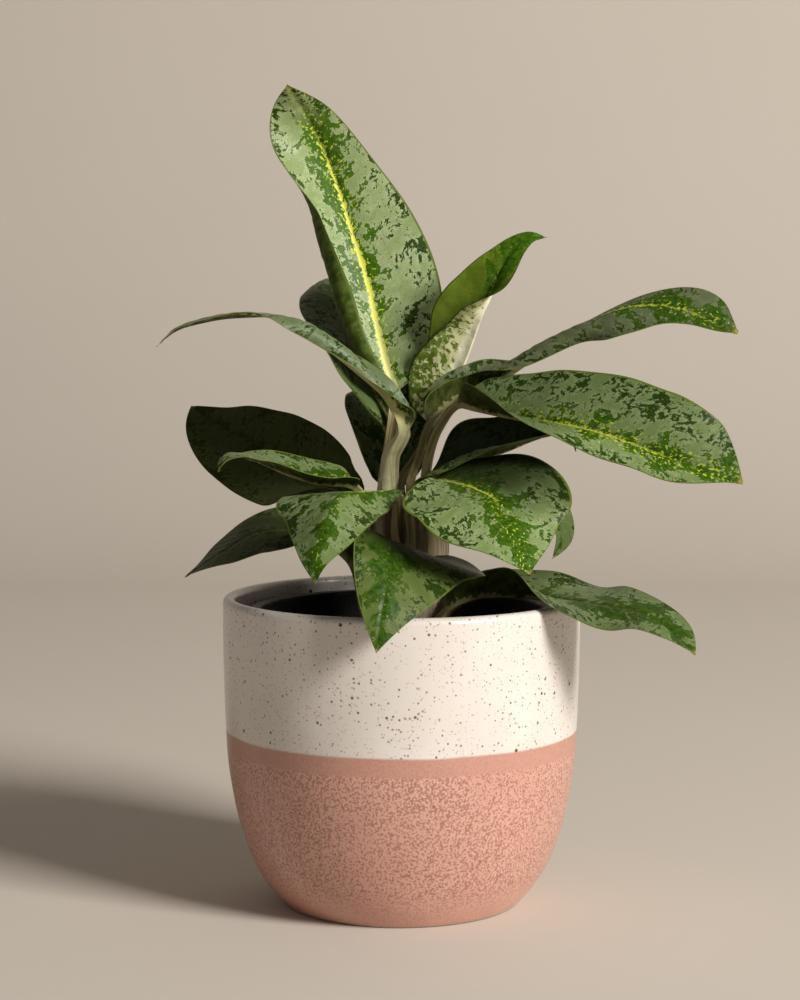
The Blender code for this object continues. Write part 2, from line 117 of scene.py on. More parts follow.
def noise_field(tree, where, scale, detail=2.0, roughness=0.5):
    """A noise socket, around 0.5."""
    inputs = {"Vector": where, "Scale": scale, "Detail": detail, "Roughness": roughness}
    return node(tree, "ShaderNodeTexNoise", inputs).outputs[0]


def speckle(tree, where, scale, size, softness=0.35):
    """Round specks of uneven size, one at most to each cell."""
    cells = node(tree, "ShaderNodeTexVoronoi", {"Vector": where, "Scale": scale})
    chance = node(tree, "ShaderNodeSeparateColor", {"Color": cells.outputs["Color"]})
    reach = calc(tree, "MULTIPLY", chance.outputs["Red"], size)
    edge = calc(tree, "MULTIPLY", reach, 1 - softness)
    shown = ramp_up(tree, cells.outputs["Distance"], reach, edge)
    return calc(tree, "MULTIPLY", shown, calc(tree, "GREATER_THAN", chance.outputs["Green"], 0.45))


def new_finish(name, **sockets):
    """A material and its tree and shader, with the plain numbers set on the shader."""
    made = bpy.data.materials.new(name)
    made.use_nodes = True
    shader = made.node_tree.nodes["Principled BSDF"]
    for key, value in sockets.items():
        shader.inputs[key.replace("_", " ")].default_value = value
    return made, made.node_tree, shader


def bumped(tree, shader, height, distance, strength=1.0):
    """Relief in metres from a height socket."""
    made = node(tree, "ShaderNodeBump", {"Height": height, "Distance": distance, "Strength": strength})
    tree.links.new(made.outputs[0], shader.inputs["Normal"])


def add_piece(name, shape, finishes, cad_node, sharp=40):
    """The finished piece: its mesh, its finishes and its place in the frame."""
    mesh = bpy.data.meshes.new(name)
    shape.to_mesh(mesh)
    shape.free()
    mesh.shade_smooth()
    mesh.set_sharp_from_angle(angle=math.radians(sharp))
    for finish in finishes:
        mesh.materials.append(finish)
    piece = bpy.data.objects.new(name, mesh)
    bpy.context.scene.collection.objects.link(piece)
    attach(piece, "root")
    if cad_node:
        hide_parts(cad_node)
    return piece


def turned(profile, sides):
    """A shape of revolution about Z through (radius, height) points in millimetres."""
    shape = bmesh.new()
    points = [shape.verts.new((radius * MM, 0, height * MM)) for radius, height in profile]
    edges = [shape.edges.new(pair) for pair in zip(points, points[1:])]
    bmesh.ops.spin(shape, geom=points + edges, cent=(0, 0, 0), axis=(0, 0, 1),
                   angle=math.tau, steps=sides, use_merge=True)
    bmesh.ops.remove_doubles(shape, verts=shape.verts, dist=1e-7)
    bmesh.ops.recalc_face_normals(shape, faces=shape.faces)
    return shape


def arc(centre, radius, start, end, count):
    """Points of an arc in the (radius, height) plane, angles in degrees."""
    angles = [math.radians(start + (end - start) * i / count) for i in range(count + 1)]
    return [(centre[0] + radius * math.cos(a), centre[1] + radius * math.sin(a)) for a in angles]


radii, heights = zip(*POT_PROFILE)
wall_heights = np.linspace(1.2, heights[-1], 64)
wall_radii = smooth_through(radii, heights, wall_heights)
foot = [(0, 0), (radii[0] - 2.0, 0), (radii[0] + 0.1, 0.3)]
outer = list(zip(wall_radii, wall_heights))
rim = arc((radii[-1] - RIM_RADIUS, heights[-1]), RIM_RADIUS, 8, 172, 12)
inner = [(radius - POT_WALL, height) for radius, height in reversed(outer) if height > CORNER_TOP]
corner = arc((38, CORNER_TOP), CORNER_RADIUS, 0, -50, 5)
inner_floor = [(44.0, POT_FLOOR + 0.3), (40.0, POT_FLOOR), (0, POT_FLOOR)]
pot = turned(foot + outer + rim + inner + corner + inner_floor, POT_SIDES)

glaze, tree, shader = new_finish("two_tone_glaze", Coat_Weight=0.25, Coat_Roughness=0.12)
place = node(tree, "ShaderNodeTexCoord").outputs["Object"]
split = node(tree, "ShaderNodeSeparateXYZ", {"Vector": place})
sway = noise_field(tree, place, 45.0)
cloud = noise_field(tree, place, 26.0, 5.0)
grit = noise_field(tree, place, 900.0)
height = calc(tree, "MULTIPLY_ADD", sway, 0.0009, split.outputs["Z"])
# cream glaze with fine tan specks and a few near-black ones
cream = blended(tree, ramp_up(tree, cloud, 0.35, 0.7), tone(217, 208, 198), tone(226, 218, 209))
for scale, size, strength, speck_tone in (
        (1000, 0.44, 0.55, tone(162, 124, 90)), (640, 0.38, 0.76, tone(124, 88, 58)),
        (390, 0.28, 0.88, tone(86, 62, 40)), (185, 0.18, 0.95, tone(36, 29, 21))):
    shown = calc(tree, "MULTIPLY", speckle(tree, place, scale, size), strength)
    cream = blended(tree, shown, cream, speck_tone)
# rose glaze, dense with fine rusty specks, calmer towards the foot
rose = blended(tree, ramp_up(tree, cloud, 0.3, 0.75), tone(200, 149, 131), tone(214, 165, 147))
rust = calc(tree, "MULTIPLY_ADD", cloud, 0.22, noise_field(tree, place, 1150.0, 2.0, 0.55))
calm = calc(tree, "MULTIPLY_ADD", ramp_up(tree, split.outputs["Z"], 0.018, 0.003), -0.7, 1.0)
rusty = calc(tree, "MULTIPLY", ramp_up(tree, rust, 0.61, 0.68), calm)
rose = blended(tree, calc(tree, "MULTIPLY", rusty, 0.66), rose, tone(134, 82, 68))
for scale, size, strength, speck_tone in (
        (700, 0.36, 0.5, tone(132, 82, 70)), (330, 0.17, 0.7, tone(98, 60, 50))):
    shown = calc(tree, "MULTIPLY", speckle(tree, place, scale, size), strength)
    rose = blended(tree, calc(tree, "MULTIPLY", shown, calm), rose, speck_tone)
# the smooth band under the glaze line, then the two glazes and the bare foot
band = calc(tree, "MULTIPLY", ramp_up(tree, height, (GLAZE_LINE - BAND_HEIGHT - 0.6) * MM,
                                      (GLAZE_LINE - BAND_HEIGHT + 0.6) * MM), 0.8)
rose = blended(tree, band, rose, tone(188, 138, 120))
upper = ramp_up(tree, height, (GLAZE_LINE - 0.5) * MM, (GLAZE_LINE + 0.7) * MM)
skin = blended(tree, upper, rose, cream)
bare = ramp_up(tree, split.outputs["Z"], BARE_FOOT * MM, 0.0004)
skin = blended(tree, bare, skin, tone(196, 178, 156))
tree.links.new(skin, shader.inputs["Base Color"])
shine = calc(tree, "MULTIPLY_ADD", grit, 0.10, calc(tree, "MULTIPLY_ADD", upper, -0.10, 0.36))
tree.links.new(shine, shader.inputs["Roughness"])
relief = calc(tree, "MULTIPLY_ADD", cloud, 0.5, calc(tree, "MULTIPLY", grit, 0.06))
relief = calc(tree, "MULTIPLY_ADD", upper, 0.25, relief)
bumped(tree, shader, relief, 0.0004)
add_piece("cover_pot_glazed", pot, [glaze], "cover_pot", 60)


# Nursery pot. The thin black polypropylene pot that the plant was grown in, blow-moulded with a
# rolled lip and six drain holes. It stands loose on the cover pot's floor.
NURSERY_TOP = 116.0
NURSERY_FOOT = POT_FLOOR + 0.3
NURSERY_FOOT_RADIUS = 40.0
NURSERY_FLARE = 17.0
NURSERY_WALL = 1.2
LIP_DEPTH = 7.0
DRAIN_RADIUS = 3.5
DRAIN_RING = 26.0
DRAIN_COUNT = 6


def nursery_radius(height):
    """Outer radius of the tapered wall."""
    return NURSERY_FOOT_RADIUS + NURSERY_FLARE * (height - NURSERY_FOOT) / (NURSERY_TOP - NURSERY_FOOT)


def drilled(shape, drills):
    """The shape with closed shapes cut out of it."""
    holders = []
    for part in (shape, drills):
        mesh = bpy.data.meshes.new("blank")
        part.to_mesh(mesh)
        part.free()
        holders.append(bpy.data.objects.new("blank", mesh))
        bpy.context.scene.collection.objects.link(holders[-1])
    cut = holders[0].modifiers.new("cut", "BOOLEAN")
    cut.object = holders[1]
    cut.solver = "EXACT"
    made = bmesh.new()
    made.from_object(holders[0], bpy.context.evaluated_depsgraph_get())
    for holder in holders:
        bpy.data.objects.remove(holder)
    return made


lip_foot = NURSERY_TOP - LIP_DEPTH
# foot, tapered wall with a stacking step near the top, rolled lip, inner wall and inner floor
grown = [(0, NURSERY_FOOT), (nursery_radius(NURSERY_FOOT) - 1.0, NURSERY_FOOT)]
grown += [(nursery_radius(h), h) for h in np.linspace(NURSERY_FOOT + 1.0, 92, 12)]
grown += [(nursery_radius(93) + 0.5, 93.2), (nursery_radius(94) + 0.5, 94.2), (nursery_radius(95), 95.4)]
grown += [(nursery_radius(lip_foot), lip_foot), (59.2, lip_foot), (59.6, lip_foot + 0.5)]
grown += arc((59.2, NURSERY_TOP - 0.8), 0.8, 0, 90, 4) + [(57.2, NURSERY_TOP - 0.1)]
grown += arc((56.9, NURSERY_TOP - 1.2), 1.1, 90, 180, 4)
grown += [(nursery_radius(lip_foot) - NURSERY_WALL, lip_foot - 1.0)]
grown += [(nursery_radius(h) - NURSERY_WALL, h) for h in np.linspace(100, NURSERY_FOOT + 2, 14)]
floor_top = NURSERY_FOOT + NURSERY_WALL
grown += [(nursery_radius(NURSERY_FOOT) - 2.2, floor_top), (0, floor_top)]
drains = bmesh.new()
for turn in np.arange(DRAIN_COUNT) * math.tau / DRAIN_COUNT:
    place = Vector((DRAIN_RING * math.cos(turn), DRAIN_RING * math.sin(turn), NURSERY_FOOT)) * MM
    bmesh.ops.create_cone(drains, cap_ends=True, segments=24, radius1=DRAIN_RADIUS * MM,
                          radius2=DRAIN_RADIUS * MM, depth=6 * NURSERY_WALL * MM,
                          matrix=Matrix.Translation(place))
nursery = drilled(turned(grown, 120), drains)

plastic, tree, shader = new_finish("black_polypropylene", Specular_IOR_Level=0.08)
place = node(tree, "ShaderNodeTexCoord").outputs["Object"]
scuff = node(tree, "ShaderNodeMapping", {"Vector": place, "Scale": (1.0, 1.0, 6.0)})
scuff = noise_field(tree, scuff.outputs[0], 90.0, 6.0, 0.7)
dust = speckle(tree, place, 450, 0.3)
black = blended(tree, ramp_up(tree, scuff, 0.45, 0.75), tone(7, 6, 5), tone(20, 18, 15))
black = blended(tree, calc(tree, "MULTIPLY", dust, 0.3), black, tone(70, 60, 46))
tree.links.new(black, shader.inputs["Base Color"])
tree.links.new(ramp_up(tree, scuff, -0.3, 1.4), shader.inputs["Roughness"])
bumped(tree, shader, scuff, 0.0002)
add_piece("nursery_pot_black", nursery, [plastic], "nursery_pot", 35)


# Potting mix. Moist peat and coir with bark chips and a few grains of perlite, pressed down by
# hand and heaped a little round the canes.
SOIL_TOP = 98.0
CANES = {"left": ((-8.0, 4.0), 5.0), "right": ((8.5, 2.0), 10.5)}
SOIL_EDGE = nursery_radius(SOIL_TOP) - NURSERY_WALL
# grains: how many, smallest and largest radius, flatness and finish
BARK_CHIPS = (620, 0.5, 1.7, 0.45, 1)
PERLITE = (46, 0.5, 1.2, 0.85, 2)


def soil_height(x, y):
    """Height of the mix in millimetres, with clods and a low heap round the canes."""
    at = Vector((x, y, 0.0))
    clods = 1.5 * noise.noise(at * 0.11) + 0.9 * noise.noise(at * 0.33) + 0.5 * noise.noise(at * 0.9)
    heap = 2.4 * math.exp(-(math.hypot(x - 2, y - 2) / 21) ** 2)
    return SOIL_TOP + 0.6 + clods * min(1.0, max(0.15, (SOIL_EDGE - math.hypot(x, y)) / 4)) + heap


mix_rings = [(r, SOIL_TOP) for r in np.linspace(SOIL_EDGE - 0.2, 0, 90)]
mix = turned([(0, NURSERY_FOOT + 1.6), (38.2, NURSERY_FOOT + 1.6), *mix_rings], 220)
for vertex in mix.verts:
    if vertex.co.z > (SOIL_TOP - 1) * MM:
        vertex.co.z = soil_height(vertex.co.x / MM, vertex.co.y / MM) * MM
dice = np.random.default_rng(11)
for count, low, high, flat, finish in (BARK_CHIPS, PERLITE):
    for _ in range(count):
        reach = (SOIL_EDGE - 3) * math.sqrt(dice.random())
        turn = math.tau * dice.random()
        x, y = reach * math.cos(turn), reach * math.sin(turn)
        if any(math.dist((x, y), centre) < radius + 1 for centre, radius in CANES.values()):
            continue
        size = dice.uniform(low, high)
        grain = bmesh.ops.create_icosphere(mix, subdivisions=1, radius=size * MM)["verts"]
        shrink = Matrix.Diagonal((dice.uniform(0.6, 1.6), dice.uniform(0.5, 1.0), flat, 1.0))
        tilt = Matrix.Rotation(math.tau * dice.random(), 4, "Z") @ Matrix.Rotation(
            dice.uniform(-0.5, 0.5), 4, "X")
        spot = Vector((x, y, soil_height(x, y) + 0.25 * size)) * MM
        bmesh.ops.transform(mix, verts=grain, matrix=Matrix.Translation(spot) @ tilt @ shrink)
        for vertex in grain:
            vertex.co += noise.noise_vector(vertex.co * 2500) * 0.25 * size * MM
        for face in {face for vertex in grain for face in vertex.link_faces}:
            face.material_index = finish

soil_finishes = []
for name, dark, light, scale in (("moist_peat", (18, 13, 8), (50, 37, 25), 420),
                                 ("bark_chips", (38, 26, 16), (88, 64, 42), 700),
                                 ("perlite", (176, 170, 158), (222, 218, 208), 900)):
    finish, tree, shader = new_finish(name, Roughness=0.93)
    place = node(tree, "ShaderNodeTexCoord").outputs["Object"]
    crumbs = noise_field(tree, place, scale, 6.0, 0.72)
    colour = blended(tree, ramp_up(tree, crumbs, 0.38, 0.68), tone(*dark), tone(*light))
    tree.links.new(colour, shader.inputs["Base Color"])
    bumped(tree, shader, crumbs, 0.0012)
    soil_finishes.append(finish)
add_piece("potting_mix", mix, soil_finishes, "soil", 30)


# Canes. Each is a short upright stem wrapped in the papery bases of old leaf stalks, which leave
# lengthwise stripes of cream, olive and pink and a ring where each one let go.
CANE_FOOT = 76.0
CANE_TOP = 160.0
RING_SPACING = 15.0


def striped_stem(name, dark, mid, pale):
    """Lengthwise stripes in an attribute's X, which runs round the stem, and Y, which runs up it."""
    finish, tree, shader = new_finish(name, Roughness=0.5)
    place = node(tree, "ShaderNodeAttribute", attribute_name="stem_place").outputs["Vector"]
    wide = node(tree, "ShaderNodeMapping", {"Vector": place, "Scale": (0.75, 0.012, 1.0)}).outputs[0]
    thin = node(tree, "ShaderNodeMapping", {"Vector": place, "Scale": (3.2, 0.05, 1.0)}).outputs[0]
    stripes = noise_field(tree, wide, 1.0)
    fibres = noise_field(tree, thin, 1.0, 4.0)
    both = calc(tree, "MULTIPLY_ADD", fibres, 0.35, calc(tree, "MULTIPLY", stripes, 0.65))
    colour = blended(tree, ramp_up(tree, both, 0.34, 0.5), tone(*dark), tone(*mid))
    colour = blended(tree, ramp_up(tree, both, 0.48, 0.64), colour, tone(*pale))
    tree.links.new(colour, shader.inputs["Base Color"])
    bumped(tree, shader, both, 0.0006)
    return finish


def torn_sheath(azimuth):
    """How far the old sheath stands up round the back of the thick cane's top, in torn tips."""
    window = max(0.0, math.sin(math.pi * min(1.0, max(0.0, (azimuth + 20) / 155))))
    tips = 0.5 + 0.5 * math.sin(math.radians(azimuth * 6.5))
    return window**0.6 * (1.2 + 3.2 * tips + 1.6 * noise.noise(Vector((azimuth * 0.11, 0.0, 0.0))))


cane_bark = striped_stem("cane_sheaths", (98, 88, 54), (158, 140, 112), (208, 190, 166))
for side, top_radius, wraps in (("left", 4.8, 3), ("right", 9.5, 5)):
    (cane_x, cane_y), foot_radius = CANES[side]
    wall = [(10.0, h) for h in np.linspace(CANE_FOOT, CANE_TOP - 0.5, 70)]
    top = [(9.9, CANE_TOP + 0.1), (9.3, CANE_TOP), (0.0, CANE_TOP)]
    stem = turned([(0.0, CANE_FOOT)] + wall + top, 96)
    round_and_up = stem.verts.layers.float_vector.new("stem_place")
    for vertex in stem.verts:
        turn = math.atan2(vertex.co.y, vertex.co.x)
        height = vertex.co.z / MM
        share = (height - SOIL_TOP) / (CANE_TOP - SOIL_TOP)
        radius = foot_radius + (top_radius - foot_radius) * max(0.0, min(1.0, share))
        lap = (turn / math.tau * wraps + 0.012 * height + 0.35) % 1.0
        ring = (height + 7 * math.sin(turn + cane_x)) % RING_SPACING
        radius += 0.35 - 0.55 * lap**3 - 0.35 * math.exp(-((ring - 2) / 0.8) ** 2)
        radius += 0.25 * noise.noise(Vector((turn * 2, height * 0.05, cane_x)))
        flat = math.hypot(vertex.co.x, vertex.co.y) / MM / 10
        if height > CANE_TOP + 0.05 and side == "right":
            vertex.co.z += torn_sheath(math.degrees(turn)) * MM
        vertex[round_and_up] = (turn * radius, height, cane_x)
        vertex.co.x = (cane_x + radius * flat * math.cos(turn)) * MM
        vertex.co.y = (cane_y + radius * flat * math.sin(turn)) * MM
    add_piece(side + "_cane_sheathed", stem, [cane_bark], side + "_cane", 50)


# Crown leaves. Each leaf grew as one piece: a channelled stalk that clasps the cane, a fleshy midrib
# and a thin blade. The upper face is silver-green with drifts of dark flecks and a green heart along
# a yellow midrib. The underside is olive with a paler rib.
BLADE_OUTLINE = (
    (0.0, 0.0), (0.03, 0.36), (0.10, 0.66), (0.22, 0.90), (0.36, 1.0), (0.52, 0.96),
    (0.68, 0.80), (0.82, 0.55), (0.92, 0.28), (0.97, 0.11), (1.0, 0.0),
)
STALK_ROWS = 18
BLADE_ROWS = 62
STRIPS = 15
CURL_STEPS = 120
RIB_DEPTH = 2.3
STALK_DEPTH = 2.8
STALK_HALF_WIDTH = 2.4
SHEET = 0.42
GROOVE = 0.45
VEIN_LEAN = 0.9
VEIN_SPACING = 6.3
# a stalk on a cane's side thins over this share of its length and sinks this far into the cane's skin
CLASP_SHARE = 0.6
CLASP_DEPTH = 0.9


def along(values, at):
    """A setting given at even steps from base to tip, read at the fractions in at."""
    if len(values) == 1:
        return np.full(len(at), float(values[0]))
    return smooth_through(values, np.linspace(0.0, 1.0, len(values)), at)


def spaced_curve(points, fractions):
    """Points at fractions of the length of a smooth curve through the given points."""
    points = np.asarray(points, float)
    knots = np.concatenate([[0.0], np.cumsum(np.linalg.norm(np.diff(points, axis=0), axis=1))])
    fine = smooth_through(points, knots, np.linspace(0.0, knots[-1], 600))
    length = np.concatenate([[0.0], np.cumsum(np.linalg.norm(np.diff(fine, axis=0), axis=1))])
    wanted = np.asarray(fractions) * length[-1]
    return np.stack([np.interp(wanted, length, fine[:, axis]) for axis in range(3)], axis=1), length[-1]


def beside(side, azimuth, height, clearance=2.4):
    """Where a stalk leaves the side of a cane: two points that climb along its skin."""
    (cane_x, cane_y), radius = CANES[side]
    turn = math.radians(azimuth)
    return [(cane_x + (radius + clearance + lean) * math.cos(turn),
             cane_y + (radius + clearance + lean) * math.sin(turn), height + rise)
            for rise, lean in ((0.0, 0.0), (8.0, 0.6))]


def nearest_cane(foot):
    """The level direction from a stalk's foot to the nearest cane's axis, and the gap to its skin."""
    (cane_x, cane_y), radius = min(CANES.values(), key=lambda cane: math.dist(cane[0], foot[:2]) - cane[1])
    reach = math.dist((cane_x, cane_y), foot[:2])
    return np.array([cane_x - foot[0], cane_y - foot[1], 0.0]) / reach, reach - radius


def on_top(x, y):
    """Where a stalk stands on the flat top of a cane."""
    return [(x, y, CANE_TOP + 0.4), (x, y, CANE_TOP + 5.0)]


def leaf_skin(leaf):
    """The closed skin of a leaf as rows of points round it, with each point's place on the leaf."""
    path = leaf["stalk"] + leaf["midrib"]
    steps = np.linalg.norm(np.diff(np.asarray(path, float), axis=0), axis=1)
    foot = steps[: len(leaf["stalk"])].sum() / steps.sum()
    blade_rows = 1 - (1 - np.linspace(0.0, 1.0, BLADE_ROWS)) ** 1.15
    rows = np.concatenate([np.linspace(0.0, foot, STALK_ROWS, endpoint=False),
                           foot + (1 - foot) * blade_rows])
    blade = np.where(rows < foot - 1e-9, rows / foot - 1, (rows - foot) / (1 - foot))
    on_blade = np.clip(blade, 0, 1)
    centre, length = spaced_curve(path, rows)
    ahead = np.gradient(centre, rows, axis=0)
    ahead /= np.linalg.norm(ahead, axis=1)[:, None]
    heading = np.radians(leaf["heading"] + leaf.get("stalk_turn", 0.0) * np.clip(-blade, 0, 1))
    left = np.stack([-np.sin(heading), np.cos(heading), 0 * heading], axis=1)
    across = left - (ahead * left).sum(axis=1)[:, None] * ahead
    across /= np.linalg.norm(across, axis=1)[:, None]
    normal = np.cross(ahead, across)
    distance = (rows - foot) * length
    outline = smooth_through([w for _, w in BLADE_OUTLINE], [u for u, _ in BLADE_OUTLINE], on_blade)
    stalk_width = leaf.get("stalk_half_width", STALK_HALF_WIDTH)
    half_width = leaf["half_width"] * np.maximum(outline, 0.0)
    half_width += np.where(blade < 0, stalk_width, stalk_width * np.clip(1 - 6 * blade, 0, 1) ** 2)
    half_width = np.maximum(half_width, 0.3)
    stalk_rib = STALK_DEPTH + (RIB_DEPTH - STALK_DEPTH) * (1 + blade) ** 2
    rib = np.where(blade < 0, stalk_rib, RIB_DEPTH - 1.7 * on_blade)
    rib_spread = np.where(blade < 0, stalk_width * 0.75, 2.2 - 1.3 * on_blade)
    if leaf["stalk"][0][2] < CANE_TOP:
        toward, gap = nearest_cane(leaf["stalk"][0])
        full = np.sqrt(1 - np.clip(1 - (1 + blade) / CLASP_SHARE, 0, 1) ** 2)
        half_width = half_width * (0.2 + 0.8 * full)
        rib = rib * (0.3 + 0.7 * full)
        centre = centre + ((gap + CLASP_DEPTH) * (1 - full))[:, None] * toward
    blade_share = np.clip(blade * 9, 0, 1)
    near = np.round(CURL_STEPS * np.linspace(0.0, 1.0, STRIPS + 1) ** 1.25).astype(int)
    fraction = near[None, :] / CURL_STEPS
    sides = []
    for side, key in ((1, "left"), (-1, "right")):
        half = leaf[key]
        lift = along(half["lift"], on_blade)
        stalk_lift = leaf.get("stalk_lift", 55)
        lift = np.where(blade < 0, stalk_lift + (1 + blade) * (half["lift"][0] - stalk_lift), lift)
        curl = np.where(blade < 0, 0.0, along(half.get("curl", [0.0]), on_blade))
        width = np.where(blade < 0, 1.0, along(half.get("width", [1.0]), on_blade)) * half_width
        lift = np.radians(lift)[:, None]
        curl = np.radians(curl)[:, None]
        steps = np.linspace(0.0, 1.0, CURL_STEPS + 1)[None, :]
        turned_to = lift + curl * steps ** half.get("roll", 1.0)
        run_out = np.cumsum(np.cos(turned_to), axis=1) - np.cos(turned_to[:, :1])
        run_up = np.cumsum(np.sin(turned_to), axis=1) - np.sin(turned_to[:, :1])
        angle = turned_to[:, near]
        out = width[:, None] * run_out[:, near] / CURL_STEPS
        up = width[:, None] * run_up[:, near] / CURL_STEPS
        point = centre[:, None] + side * out[..., None] * across[:, None] + up[..., None] * normal[:, None]
        facing = (-side * np.sin(angle)[..., None] * across[:, None]
                  + np.cos(angle)[..., None] * normal[:, None])
        lateral = width[:, None] * fraction
        vein = distance[:, None] - VEIN_LEAN * lateral
        window = np.sin(np.pi * np.clip(fraction * 1.02, 0, 1)) * blade_share[:, None]
        quilt = 0.16 * np.sin(vein * math.tau / VEIN_SPACING + 2 * side) * window
        ripple = leaf.get("ripple", 0.5) * np.sin(distance[:, None] / 4.6 + leaf["seed"] + 2 * side)
        ripple = ripple * fraction**2 * np.sin(np.pi * on_blade)[:, None]
        groove = GROOVE * np.exp(-(lateral / 1.1) ** 2) * blade_share[:, None]
        upper = point + (quilt + ripple)[..., None] * facing
        sheet = SHEET - 0.2 * fraction**3
        depth = sheet + (rib[:, None] - 0.4) * np.exp(-(lateral / rib_spread[:, None]) ** 2)
        lower = upper - depth[..., None] * facing
        upper = upper - groove[..., None] * facing
        sides.append((upper, lower, side * lateral, side * np.broadcast_to(fraction, lateral.shape)))
    (left_up, left_low, left_t, left_v), (right_up, right_low, right_t, right_v) = sides
    keel = (left_low[:, :1] + right_low[:, :1]) / 2
    join = (left_up[:, :1] + right_up[:, :1]) / 2
    ring = [left_up[:, :0:-1], join, right_up[:, 1:], right_low[:, :0:-1], keel, left_low[:, 1:]]
    lateral, share = (
        np.concatenate([one[:, :0:-1], one[:, :1], other[:, 1:], other[:, :0:-1], one[:, :1], one[:, 1:]],
                       axis=1)
        for one, other in ((left_t, right_t), (left_v, right_v)))
    return np.concatenate(ring, axis=1), distance, blade, lateral, share


def fleck_noise(tree, seat, along_rib, off_rib, detail, shift=0.0):
    """Ragged noise with its own scale along the midrib and away from it."""
    scaled = node(tree, "ShaderNodeMapping", {"Vector": seat, "Location": (shift, shift, 0),
                                              "Scale": (along_rib, off_rib, 1)})
    return noise_field(tree, scaled.outputs[0], 1.0, detail, 0.6)


def torn_edge(tree, distance, wobble, amount):
    """A distance that a noise socket around 0.5 pulls in and out, so that an edge at it is torn."""
    return calc(tree, "MULTIPLY_ADD", calc(tree, "SUBTRACT", wobble, 0.5), -amount, distance)


def leaf_sockets(tree, look):
    """A leaf point's place, and the rows of side veins and of flecks that it lies in."""
    where = node(tree, "ShaderNodeAttribute", attribute_name="leaf_place").outputs["Vector"]
    distance, lateral, blade = node(tree, "ShaderNodeSeparateXYZ", {"Vector": where}).outputs
    share = node(tree, "ShaderNodeAttribute", attribute_name="leaf_share").outputs["Fac"]
    share = calc(tree, "ABSOLUTE", share)
    reach = calc(tree, "ABSOLUTE", lateral)
    half = calc(tree, "MULTIPLY_ADD", calc(tree, "SIGN", lateral), 40.0, look["seed"] * 97.0)
    bend = noise_field(tree, where, 0.06)
    vein = calc(tree, "MULTIPLY_ADD", reach, -VEIN_LEAN, distance)
    vein = calc(tree, "MULTIPLY_ADD", bend, 9.0, vein)
    row = calc(tree, "MULTIPLY_ADD", reach, -look.get("lean", 0.3), distance)
    row = calc(tree, "MULTIPLY_ADD", bend, 9.0, row)
    seat = node(tree, "ShaderNodeCombineXYZ", {0: row, 1: reach, 2: half}).outputs[0]
    return where, reach, blade, share, vein, seat


def leaf_stalk(tree, where, look):
    """Lengthwise fibres of a leaf stalk."""
    grain = node(tree, "ShaderNodeMapping", {"Vector": where, "Scale": (0.03, 1.6, 0.5)}).outputs[0]
    grain = noise_field(tree, grain, 1.0, 3.0)
    return blended(tree, ramp_up(tree, grain, 0.32, 0.68), look.get("stalk_tone", tone(116, 108, 64)),
                   look.get("stalk_pale", tone(166, 154, 116)))


